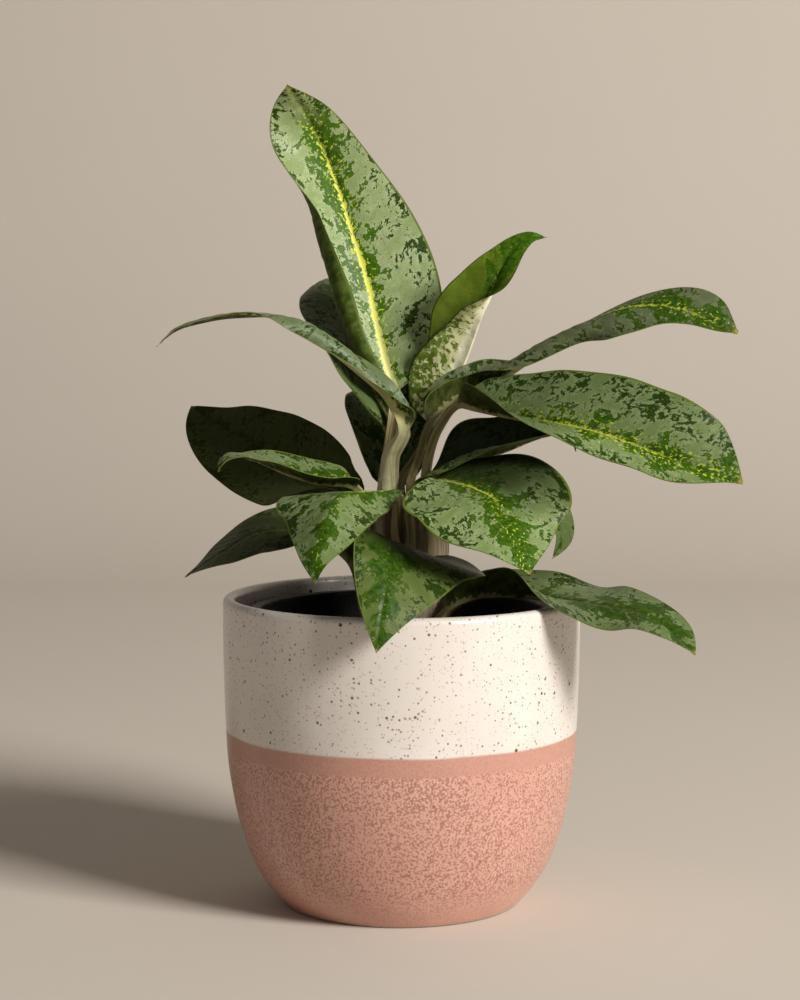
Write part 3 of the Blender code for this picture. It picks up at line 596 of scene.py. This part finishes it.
def leaf_upper(name, look):
    """Silver blade with drifts of dark flecks, a green heart, a yellow midrib and splashes."""
    finish, tree, shader = new_finish(name, Specular_IOR_Level=look.get("gloss", 0.16))
    where, reach, blade, share, vein, seat = leaf_sockets(tree, look)
    broad = fleck_noise(tree, seat, 0.13, 0.10, 2.0)
    ragged = fleck_noise(tree, seat, 0.55, 0.50, 4.0, 31.0)
    small = fleck_noise(tree, seat, 1.5, 1.4, 3.0, 57.0)
    # silver ground, paler and greener by turns, veiled with fine green
    colour = blended(tree, ramp_up(tree, broad, 0.35, 0.65), look.get("silver", tone(116, 134, 80)),
                     look.get("silver_pale", tone(146, 160, 114)))
    veil = calc(tree, "MULTIPLY", ramp_up(tree, small, 0.45, 0.68), 0.4)
    colour = blended(tree, veil, colour, look.get("veil", tone(84, 110, 48)))
    # dark flecks in drifts, thicker towards the margin
    mixed = calc(tree, "MULTIPLY_ADD", broad, 0.44, calc(tree, "MULTIPLY", ragged, 0.40))
    mixed = calc(tree, "MULTIPLY_ADD", small, 0.16, mixed)
    mixed = calc(tree, "MULTIPLY_ADD", ramp_up(tree, share, 0.45, 1.0), look.get("edge", 0.03), mixed)
    limit = look.get("flecks", 0.54)
    flecks = ramp_up(tree, mixed, limit - 0.007, limit + 0.009)
    dark = blended(tree, ramp_up(tree, small, 0.3, 0.7), tone(26, 44, 4), tone(50, 74, 14))
    colour = blended(tree, flecks, colour, dark)
    # green heart either side of the midrib, torn into patches
    torn = torn_edge(tree, reach, ragged, 26.0)
    torn = torn_edge(tree, torn, broad, 44.0)
    torn = torn_edge(tree, torn, small, 8.0)
    heart_width = calc(tree, "MULTIPLY_ADD", calc(tree, "MAXIMUM", blade, 0.0),
                       look.get("heart_tip", 2.0) - look.get("heart", 3.0), look.get("heart", 3.0))
    heart = ramp_up(tree, calc(tree, "SUBTRACT", heart_width, torn), -0.4, 0.4)
    heart = calc(tree, "MULTIPLY", heart, ramp_up(tree, blade, -0.02, 0.05))
    heart_end = look.get("heart_end", 1.2)
    heart = calc(tree, "MULTIPLY", heart, ramp_up(tree, blade, heart_end, heart_end - 0.12))
    green = blended(tree, ramp_up(tree, ragged, 0.35, 0.65), look.get("green", tone(38, 66, 4)),
                    tone(68, 102, 14))
    colour = blended(tree, heart, colour, green)
    # yellow splashes beside the midrib
    drops = fleck_noise(tree, seat, 0.72, 0.66, 2.0, 83.0)
    near = ramp_up(tree, reach, look.get("splash_reach", 9.0), 0.5)
    drops = calc(tree, "MULTIPLY_ADD", near, 0.12, drops)
    limit = look.get("splash", 0.70)
    splashes = ramp_up(tree, drops, limit - 0.015, limit + 0.035)
    splashes = calc(tree, "MULTIPLY", splashes, ramp_up(tree, blade, 0.0, 0.06))
    splashes = calc(tree, "MULTIPLY", splashes, ramp_up(tree, reach, 24.0, 12.0))
    colour = blended(tree, splashes, colour, tone(176, 190, 56))
    # midrib, feathered into the blade
    narrow = calc(tree, "POWER", calc(tree, "SUBTRACT", 1.0, calc(tree, "MAXIMUM", blade, 0.0)), 1.2)
    rib_width = calc(tree, "MULTIPLY_ADD", narrow, look["rib"], 0.05)
    feather = torn_edge(tree, torn_edge(tree, reach, small, 2.4), ragged, look.get("feather", 5.0))
    gap = ramp_up(tree, calc(tree, "SUBTRACT", rib_width, feather), -0.4, 0.4)
    rib_tone = blended(tree, ramp_up(tree, blade, 0.0, 0.35), tone(218, 214, 146),
                       look.get("rib_tone", tone(196, 202, 76)))
    rib_start = look.get("rib_start", -0.1)
    rib_end = look.get("rib_end", 0.8)
    fade = calc(tree, "MULTIPLY", ramp_up(tree, blade, rib_end, rib_end - 0.25),
                ramp_up(tree, blade, rib_start, rib_start + 0.12))
    colour = blended(tree, calc(tree, "MULTIPLY", gap, fade), colour, rib_tone)
    # painted shade on each half and towards the stalk, where leaves above shade the blade or it turns from
    # the light; on the low leaves it also darkens older tissue
    shade = look.get("shade", 1.0)
    lateral = node(tree, "ShaderNodeSeparateXYZ", {"Vector": where}).outputs[1]
    on_right = calc(tree, "LESS_THAN", lateral, 0.0)
    painted_shade = calc(tree, "MULTIPLY_ADD", on_right, shade - look.get("shade_right", shade), 1.0 - shade)
    shade_from = look.get("shade_from", -1.0)
    painted_shade = calc(tree, "MULTIPLY", painted_shade, ramp_up(tree, share, shade_from, shade_from + 0.4))
    shade_end = look.get("shade_end", 2.0)
    painted_shade = calc(tree, "MULTIPLY", painted_shade, ramp_up(tree, blade, shade_end, shade_end - 0.4))
    base_end = look.get("base_end", 0.0)
    near_base = ramp_up(tree, blade, base_end, base_end - 0.4)
    painted_base_shade = calc(tree, "MULTIPLY", near_base, look.get("base_shade", 0.0))
    painted_shade = calc(tree, "MAXIMUM", painted_shade, painted_base_shade)
    # the painted shade is mixed into the colour here
    colour = blended(tree, painted_shade, colour, look.get("shade_tone", tone(20, 30, 4)))
    # the margin line, the dry tip and the stalk
    colour = blended(tree, ramp_up(tree, share, 0.955, 0.985), colour, look.get("margin", tone(92, 106, 40)))
    tip = calc(tree, "MULTIPLY", ramp_up(tree, blade, 0.975, 0.995), 0.7)
    colour = blended(tree, tip, colour, tone(150, 138, 70))
    colour = blended(tree, ramp_up(tree, blade, 0.03, -0.04), colour, leaf_stalk(tree, where, look))
    tree.links.new(colour, shader.inputs["Base Color"])
    tree.links.new(calc(tree, "MULTIPLY_ADD", small, 0.24, 0.26), shader.inputs["Roughness"])
    ridges = calc(tree, "SINE", vein)
    relief = calc(tree, "MULTIPLY_ADD", ridges, 0.12, calc(tree, "MULTIPLY", small, 0.5))
    bumped(tree, shader, calc(tree, "MULTIPLY_ADD", flecks, -0.10, relief), 0.00022)
    return finish


def leaf_under(name, look):
    """Olive underside with a faint shadow of the flecks, pale side veins and a cream rib."""
    finish, tree, shader = new_finish(name, Specular_IOR_Level=look.get("gloss", 0.12))
    where, reach, blade, share, vein, seat = leaf_sockets(tree, look)
    clouds = fleck_noise(tree, seat, 0.34, 0.2, 5.0)
    specks = fleck_noise(tree, seat, 0.5, 0.42, 4.0, 41.0)
    colour = blended(tree, ramp_up(tree, clouds, 0.4, 0.62), look.get("under", tone(42, 48, 10)),
                     look.get("under_pale", tone(66, 74, 28)))
    near = ramp_up(tree, reach, look.get("under_reach", 12.0), 0.0)
    spots = calc(tree, "MULTIPLY_ADD", near, 0.16, specks)
    limit = look.get("under_spots", 0.9)
    colour = blended(tree, ramp_up(tree, spots, limit - 0.015, limit + 0.02), colour,
                     look.get("spot_tone", tone(150, 158, 88)))
    lines = calc(tree, "SINE", vein)
    colour = blended(tree, calc(tree, "MULTIPLY", ramp_up(tree, lines, 0.75, 1.0), 0.16), colour,
                     tone(98, 108, 60))
    narrow = calc(tree, "POWER", calc(tree, "SUBTRACT", 1.0, calc(tree, "MAXIMUM", blade, 0.0)), 1.6)
    rib_width = calc(tree, "MULTIPLY_ADD", narrow, look.get("under_rib", 2.0), 0.4)
    feather = torn_edge(tree, reach, specks, 6.0)
    rib = ramp_up(tree, calc(tree, "SUBTRACT", rib_width, feather), -0.3, 0.7)
    colour = blended(tree, rib, colour, look.get("under_rib_tone", tone(150, 144, 100)))
    colour = blended(tree, ramp_up(tree, share, 0.95, 0.985), colour, look.get("margin", tone(96, 112, 50)))
    colour = blended(tree, ramp_up(tree, blade, 0.05, -0.05), colour, leaf_stalk(tree, where, look))
    tree.links.new(colour, shader.inputs["Base Color"])
    tree.links.new(calc(tree, "MULTIPLY_ADD", clouds, 0.25, 0.38), shader.inputs["Roughness"])
    bumped(tree, shader, calc(tree, "MULTIPLY_ADD", lines, 0.2, clouds), 0.0003)
    return finish


def grow_leaf(name, leaf):
    """Makes a leaf's mesh and its two finishes."""
    points, distance, blade, lateral, share = leaf_skin(leaf)
    row_count, ring_count, _ = points.shape
    shape = bmesh.new()
    place = shape.verts.layers.float_vector.new("leaf_place")
    part = shape.verts.layers.float.new("leaf_share")
    bmesh.ops.create_grid(shape, x_segments=row_count - 1, y_segments=ring_count, size=0.5)
    upper_end = 2 * STRIPS / ring_count - 0.5
    for face in shape.faces:
        face.material_index = 0 if face.calc_center_median().y < upper_end else 1
    for vertex in shape.verts:
        row = round((vertex.co.x + 0.5) * (row_count - 1))
        spot = round((vertex.co.y + 0.5) * ring_count) % ring_count
        vertex.co = Vector(points[row, spot]) * MM
        vertex[place] = (distance[row], lateral[row, spot], blade[row])
        vertex[part] = share[row, spot]
    bmesh.ops.remove_doubles(shape, verts=shape.verts, dist=1e-8)
    bmesh.ops.holes_fill(shape, edges=shape.edges, sides=0)
    bmesh.ops.recalc_face_normals(shape, faces=shape.faces)
    finishes = [leaf_upper(name + "_upper", leaf), leaf_under(name + "_under", leaf)]
    return add_piece(name + "_blade", shape, finishes, name, 60)


grow_leaf("leaf_tall", {
    "seed": 1, "heading": 90, "stalk": on_top(-7, 6) + [(-4.4, 8, 181)],
    "midrib": [(-3, 13, 201), (-6, 16, 211), (-9, 19, 223), (-13, 23, 242), (-19, 25, 261),
               (-24, 26, 277), (-31, 22, 296), (-38, 14, 310), (-44, 2, 319)],
    "half_width": 33,
    "left": {"lift": [24, 18, 30, 34, -5], "curl": [190, 190, 125, 60, 0], "roll": 2.3,
             "width": [1.0, 0.98, 0.92, 1, 1.5]},
    "right": {"lift": [20, 6, 6, 5, 0], "curl": [0, -10, -15, -20, -20],
              "width": [1.12, 0.9, 0.78, 0.6, 0.7]},
    "rib": 1.7, "rib_end": 0.87, "heart": 1.5, "heart_tip": 9.0, "heart_end": 0.93, "flecks": 0.545,
    "splash": 0.69, "splash_reach": 9.0, "rib_tone": tone(212, 214, 92), "green": tone(48, 78, 10),
    "silver": tone(134, 150, 100), "silver_pale": tone(162, 174, 130), "under": tone(56, 72, 20),
    "under_pale": tone(82, 98, 40),
})
grow_leaf("leaf_rolled", {
    "seed": 2, "heading": 0, "stalk": on_top(0, 3.5) + [(5, 5, 173)],
    "midrib": [(14, 8.5, 186), (20, 8.5, 199), (27, 4.5, 217), (34, 0, 238), (39, 0, 250),
               (44, 1, 257), (50, 2, 261), (57, 4, 261)],
    "half_width": 20,
    "left": {"lift": [75, 75, 72, 70, 70, 60, 30], "curl": [10],
             "width": [0.85, 0.85, 0.88, 1.0, 0.82, 0.5, 0.6]},
    "right": {"lift": [85, 85, 85, 78, -30, -60, -60], "curl": [30, 30, 20, 0, 0, 0],
              "width": [1.3, 1.2, 0.85, 0.5, 0.55, 0.5, 0.5]},
    "lean": 0.1, "under_rib": 8.0, "under": tone(84, 106, 30), "under_pale": tone(114, 134, 56),
    "under_spots": 0.57, "under_reach": 18.0, "spot_tone": tone(206, 206, 154),
    "under_rib_tone": tone(228, 224, 192), "silver": tone(84, 102, 22), "silver_pale": tone(104, 124, 34),
    "veil": tone(70, 88, 16), "flecks": 0.68, "heart": -9.0, "heart_tip": 9.0, "rib": 0.4,
    "splash": 0.9, "margin": tone(40, 56, 10),
})
grow_leaf("leaf_left_ribbon", {
    "seed": 3, "heading": 180, "stalk": on_top(-5.5, -0.4) + [(-5.0, -2.2, 176)],
    "stalk_half_width": 4.5, "stalk_lift": 22, "stalk_turn": 90,
    "midrib": [(-0.5, -6, 187), (-4, -8, 195), (-7, -10, 200), (-15, -12, 208), (-27, -14, 218),
               (-39, -16, 227), (-44, -17, 229), (-60, -20, 232), (-75, -22, 230), (-86, -24, 226),
               (-93, -26, 219)],
    "half_width": 20,
    "left": {"lift": [70, 80, 90, 55, 0, -10, -10], "curl": [0, -140, -190, -150, 0, 0, 0],
             "width": [0.9, 0.58, 0.7, 0.7, 0.4, 0.6, 1]},
    "right": {"lift": [80, 45, 10, 0, -8, -10, -10], "width": [0.6, 0.5, 0.6, 0.8, 1, 1, 1]},
    "ripple": 0.2, "shade": 0.85, "flecks": 0.55, "silver": tone(98, 112, 76), "heart": -3.0,
    "rib": 0.3, "splash": 0.78,
    "silver_pale": tone(122, 134, 100), "stalk_tone": tone(168, 164, 118),
    "stalk_pale": tone(212, 206, 164),
    "under": tone(42, 56, 16), "under_pale": tone(70, 88, 34), "under_spots": 0.62, "under_rib": 3.5,
    "under_rib_tone": tone(196, 190, 132), "margin": tone(104, 112, 60),
})
grow_leaf("leaf_right_high", {
    "seed": 4, "heading": 0, "stalk": on_top(3.8, -3.4) + [(7.2, -2.3, 174)],
    "midrib": [(12, -0.5, 188), (21, 0.5, 197), (31, 0, 201), (38, -2, 205.5), (58, -6, 220),
               (73, -9, 229), (82, -12, 233), (96, -14, 235), (111, -17, 232), (123, -20, 226),
               (128, -21, 224)],
    "half_width": 18,
    "left": {"lift": [85, 70, -5, -5, 12, 52, 60], "width": [1.0, 0.85, 0.72, 0.6, 0.5, 1.25, 3.0]},
    "right": {"lift": [85, 86, 85, 40, -40, -45, -30], "curl": [0, -20, -190, -150, 0, 0, 0],
              "width": [1.0, 0.55, 0.75, 0.75, 1.05, 0.9, 1.4]},
    "ripple": 0.2, "shade": 0.62, "rib": 0.9, "rib_start": 0.5, "rib_end": 1.0, "heart": 1.0,
    "heart_tip": 7.0, "flecks": 0.535, "silver": tone(104, 112, 80), "silver_pale": tone(134, 138, 106),
})
grow_leaf("leaf_right_broad", {
    "seed": 5, "heading": -12, "stalk": on_top(9.5, -4) + [(10.5, -6.5, 174), (15, -8.5, 187)],
    "midrib": [(23, -7, 196), (28, -10, 195), (45, -20, 192), (71, -34, 188),
               (95, -44, 180), (112, -50, 173.5), (126, -52, 169)],
    "half_width": 27,
    "left": {"lift": [70, 60, 58, 60, 60, 50, 40], "curl": [0, -10, -10, 0, 0],
             "width": [0.8, 0.86, 0.93, 1.0, 1.18, 1.72, 3.4]},
    "right": {"lift": [50, 22, 0, -25, -35, -35, -15], "width": [1, 0.95, 0.76, 0.62, 0.62, 0.75, 0.6]},
    # painted shade: the upper half turns from the light, and the blade is darker near the stalk
    "shade": 0.68, "shade_right": 0.95, "base_end": 0.6, "base_shade": 0.5,
    "rib": 0.65, "rib_end": 0.85, "feather": 2.5, "heart": 0.5, "heart_tip": 7.5, "flecks": 0.525,
    "edge": 0.02, "splash": 0.69, "splash_reach": 12.0,
})


# Lower leaves on the left and at the back. They are older and in each other's shade, and painted
# shade darkens their colour, so they are darker and their silver is dull.
grow_leaf("leaf_back_left", {
    "seed": 6, "heading": 110, "stalk": beside("left", 85, 148, 2.1) + [(-5, 13, 172)],
    "midrib": [(-4, 15, 185), (-12, 26, 202), (-19, 42, 225), (-25, 58, 241), (-28, 76, 246),
               (-29, 96, 241), (-29, 113, 226)],
    "half_width": 22,
    "left": {"lift": [40, 30, 15, -5, -30], "curl": [0, 0, -50, -80, -60],
             "width": [1.5, 1.15, 0.92, 0.75, 0.6]},
    "right": {"lift": [40, 25, 10, 0, 0]},
    "gloss": 0.05, "shade": 0.5, "rib": 0.5, "splash": 0.74,
})
grow_leaf("leaf_back_low", {
    "seed": 7, "heading": 100, "stalk": beside("right", 130, 136, 1.5),
    "midrib": [(-2, 20, 161), (-4, 24, 173), (-7, 32, 187), (-9, 46, 198), (-10, 66, 203),
               (-10, 90, 198)],
    "half_width": 21,
    "left": {"lift": [20, 18, 10, -5, -20], "curl": [0, 0, -30, -60, -60],
             "width": [0.85, 0.76, 0.7, 0.6, 0.5]},
    "right": {"lift": [40, 35, 20, 0, 0]},
    "gloss": 0.05, "shade": 0.38, "rib": 0.5, "splash": 0.74,
})
grow_leaf("leaf_left_broad", {
    "seed": 8, "heading": 150, "stalk": beside("left", 150, 126, 1.6),
    "midrib": [(-18, 6, 153), (-29, 22, 160), (-46, 45, 169), (-66, 68, 179), (-81, 85, 185),
               (-91, 98, 191)],
    "half_width": 27,
    "left": {"lift": [40, -30, -45, -40, -20], "width": [0.85, 0.85, 0.9, 1.05, 1.1]},
    "right": {"lift": [75, 70, 60, 50, 35], "width": [0.7, 0.73, 0.75, 0.77, 0.9]},
    "gloss": 0.02, "shade": 0.14, "shade_tone": tone(44, 46, 12), "rib": 0.5, "splash": 0.9, "rib_end": 0.6,
    "margin": tone(56, 60, 22),
})
grow_leaf("leaf_left_small", {
    "seed": 9, "heading": 200, "stalk": beside("left", 215, 132, 2.0),
    "midrib": [(-19, -18, 166), (-32, -26, 168), (-42, -33, 171.5), (-55, -42, 177.5),
               (-62, -47, 179), (-66, -50, 177), (-68, -52, 173.5)],
    "half_width": 14,
    "left": {"lift": [20, 10, 8, 0, 0]},
    "right": {"lift": [45, 38, 25, 5, 0]},
    "shade": 0.6, "rib": 1.1, "rib_end": 0.7, "heart": 8.0,
})
grow_leaf("leaf_low_left", {
    "seed": 10, "heading": 180, "stalk": beside("left", 190, 106, 1.9),
    "midrib": [(-20, 0, 135), (-30, -1, 143), (-42, -3, 147), (-57, -6, 146), (-70, -10, 139),
               (-84, -14, 130)],
    "half_width": 22,
    "left": {"lift": [30, -20, -25, -20, -10], "width": [0.2, 0.3, 0.8, 1, 1]},
    "right": {"lift": [40, 20, 15, 10, 0]},
    "gloss": 0.03, "shade": 0.25, "shade_tone": tone(40, 44, 14), "rib": 0.3, "splash": 0.8,
})


# Front leaves. They grow from the thick cane, arch over the rim towards the light and show their
# silver faces, with a dark green heart where the blade turns down.
grow_leaf("leaf_front_left", {
    "seed": 11, "heading": -125, "stalk": beside("right", 215, 136, 1.5),
    "midrib": [(-2, -17, 163.5), (-8, -32, 165), (-15, -47, 166), (-22, -58, 166), (-26, -68, 161),
               (-29, -74, 152), (-31, -78, 143), (-31, -80, 135)],
    "half_width": 26,
    "left": {"lift": [0, -30, -35, -35, -20], "width": [0.3, 0.4, 0.65, 0.75, 0.5]},
    "right": {"lift": [-14, -12, -6, -5, 0], "width": [1.0, 1.08, 1.08, 0.95, 0.6]},
    "shade": 0.86, "rib": 0.5, "rib_end": 0.55, "heart": 8.0, "heart_tip": 3.0, "flecks": 0.53,
    "splash": 0.76,
})
grow_leaf("leaf_front_low", {
    "seed": 12, "heading": -95, "stalk": beside("right", 235, 106, 2.0),
    "midrib": [(-3, -24, 135), (-2, -40, 144), (-3, -52, 148), (-4, -64, 145), (-5, -74, 136),
               (-7, -82, 124), (-9, -86, 111)],
    "half_width": 30,
    "left": {"lift": [20, -18, -20, -20, -10], "width": [1.2, 1.25, 1.12, 0.8, 0.5]},
    "right": {"lift": [30, 25, 20, 10, 0], "width": [0.42, 0.46, 0.48, 0.5, 0.45]},
    # painted shade over the blade, heavier near the stalk where the front right leaf shades it
    "shade": 0.72, "base_end": 0.75, "base_shade": 0.85, "rib": 0.1, "rib_end": 0.3, "heart": 10.0,
    "heart_tip": 4.0, "flecks": 0.53, "silver": tone(94, 110, 52), "silver_pale": tone(118, 132, 70),
    "splash": 0.78,
})
grow_leaf("leaf_front_right", {
    "seed": 13, "heading": -50, "stalk": beside("right", 280, 130, 1.8),
    "midrib": [(12, -19, 167), (20, -33, 168), (27, -45, 167), (34, -56, 164), (38, -67, 157),
               (43, -76, 148), (46, -82, 139)],
    "half_width": 27,
    "left": {"lift": [32, 24, 18, 10, 0], "width": [0.78, 1.0, 1.15, 1.13, 0.8]},
    "right": {"lift": [20, 5, -10, -16, -20, -15, -10], "width": [0.02, 0.5, 1.08, 1.22, 1.34, 1.4, 1.2]},
    # painted shadow of the leaves above on the far half, near the stalk
    "shade": 0.1, "shade_right": 0.95, "shade_from": -0.1, "shade_end": 0.8,
    "rib": 0.9, "rib_end": 0.66, "feather": 3.0, "heart": 5.0, "heart_tip": 7.0, "flecks": 0.53,
    "splash": 0.72,
})


# Lower leaves on the right, from the thick cane too. One is folded under the broad leaf, one turns
# down behind the front leaf, and one lies over the rim with a wavy margin.
grow_leaf("leaf_right_under", {
    "seed": 14, "heading": -5, "stalk": beside("right", 250, 138, 2.1),
    "midrib": [(5, -12, 163), (14, -12, 168), (25, -12, 173), (40, -15, 179), (55, -19, 185),
               (64, -22, 186), (67, -23, 179)],
    "half_width": 18,
    "left": {"lift": [60, 70, 60, 50, 40, 20, 10], "width": [0.1, 0.35, 1, 1, 1, 1, 1]},
    "right": {"lift": [70, 80, 70, 40, 10, 0, 0], "curl": [-60, -140, -120, -60, 0, 0, 0],
              "width": [0.6, 0.7, 0.8, 0.8, 0.6, 0.6, 0.6]},
    # painted shade: the far half lies in deep shade under the broad leaf
    "shade": 0.12, "shade_right": 0.6, "rib": 0.4, "splash": 0.8,
})
grow_leaf("leaf_right_back", {
    "seed": 15, "heading": -20, "stalk": beside("right", 70, 122, 2.6),
    "midrib": [(15, 20, 149), (32, 30, 159), (49, 38, 159), (62, 42, 151), (66, 40, 141),
               (62, 36, 131)],
    "half_width": 16,
    "left": {"lift": [20]},
    "right": {"lift": [-10]},
    "gloss": 0.06, "shade": 0.4, "rib": 0.5, "splash": 0.75,
})
grow_leaf("leaf_right_low", {
    "seed": 16, "heading": -15, "stalk": beside("right", 290, 101, 2.8),
    "midrib": [(18, -14, 116), (29, -19, 122), (45, -26, 124), (60, -34, 124), (74, -42, 123),
               (91, -50, 120), (101, -56, 114), (108, -62, 107)],
    "half_width": 22,
    "left": {"lift": [50, 40, 25, 12, 18, 25, 20], "width": [0.85, 0.8, 0.82, 0.95, 0.92, 1.0, 1.6]},
    "right": {"lift": [85, 70, 40, -8, -25, -20, -15], "width": [0.65, 0.6, 0.72, 0.75, 0.85, 1, 1]},
    "shade": 0.62, "rib": 0.15, "rib_end": 0.5, "heart": 6.0, "heart_tip": 5.0, "flecks": 0.53,
    "splash": 0.8, "ripple": 0.9,
})


# Floor and backdrop: one wide sheet of matt paper that lies flat under the pot and curves up behind
# the plant.
SWEEP_START = 1.0
SWEEP_RADIUS = 0.7

sweep = bmesh.new()
run = [(-1.6, 0.0), (SWEEP_START, 0.0)]
run += [(SWEEP_START + SWEEP_RADIUS * math.sin(a), SWEEP_RADIUS - SWEEP_RADIUS * math.cos(a))
        for a in np.linspace(0.1, math.pi / 2, 12)]
run += [(SWEEP_START + SWEEP_RADIUS, 3.0)]
points = [sweep.verts.new((-3.0, y, z)) for y, z in run]
edges = [sweep.edges.new(pair) for pair in zip(points, points[1:])]
made = bmesh.ops.extrude_edge_only(sweep, edges=edges)
bmesh.ops.translate(sweep, verts=[v for v in made["geom"] if isinstance(v, bmesh.types.BMVert)],
                    vec=(6.0, 0, 0))
paper, tree, shader = new_finish("backdrop_paper", Roughness=0.9)
place = node(tree, "ShaderNodeTexCoord").outputs["Object"]
pulp = noise_field(tree, place, 3.0, 6.0)
tree.links.new(blended(tree, pulp, tone(202, 192, 179), tone(208, 198, 185)), shader.inputs["Base Color"])
mesh = bpy.data.meshes.new("studio_sweep")
sweep.to_mesh(mesh)
sweep.free()
mesh.shade_smooth()
mesh.materials.append(paper)
floor = bpy.data.objects.new("studio_sweep", mesh)
bpy.context.scene.collection.objects.link(floor)


# Studio light: a large soft key from the upper right in front, a weak fill from the left and a
# dim surround.
for name, spot, aim, size, power in (("key", (2.3, -1.9, 1.66), (0, 0, 0.14), 1.0, 158),
                                     ("fill", (-1.4, -1.0, 0.7), (0, 0, 0.15), 1.2, 0.6)):
    lamp = bpy.data.lights.new(name, "AREA")
    lamp.energy = power
    lamp.size = size
    lamp.color = (1.0, 0.975, 0.945)
    holder = bpy.data.objects.new(name, lamp)
    holder.location = spot
    holder.rotation_euler = (Vector(aim) - Vector(spot)).to_track_quat("-Z", "Y").to_euler()
    bpy.context.scene.collection.objects.link(holder)
world = bpy.data.worlds.new("surround")
world.use_nodes = True
world.node_tree.nodes["Background"].inputs["Color"].default_value = (0.95, 0.93, 0.91, 1)
world.node_tree.nodes["Background"].inputs["Strength"].default_value = 0.125
bpy.context.scene.world = world
bpy.context.scene.view_settings.view_transform = "Standard"


# Camera: eye level with the leaves, 0.9 m in front of the pot, tipped down by about five degrees.
CAMERA_PLACE = (0.0, -0.900, 0.236)
CAMERA_TILT = 4.93

lens = bpy.data.cameras.new("camera")
lens.sensor_width = 36.0
lens.lens = 83.0
lens.shift_x = -0.0014
camera = bpy.data.objects.new("camera", lens)
camera.location = CAMERA_PLACE
camera.rotation_euler = (math.radians(90 - CAMERA_TILT), 0.0, 0.0)
bpy.context.scene.collection.objects.link(camera)
bpy.context.scene.camera = camera
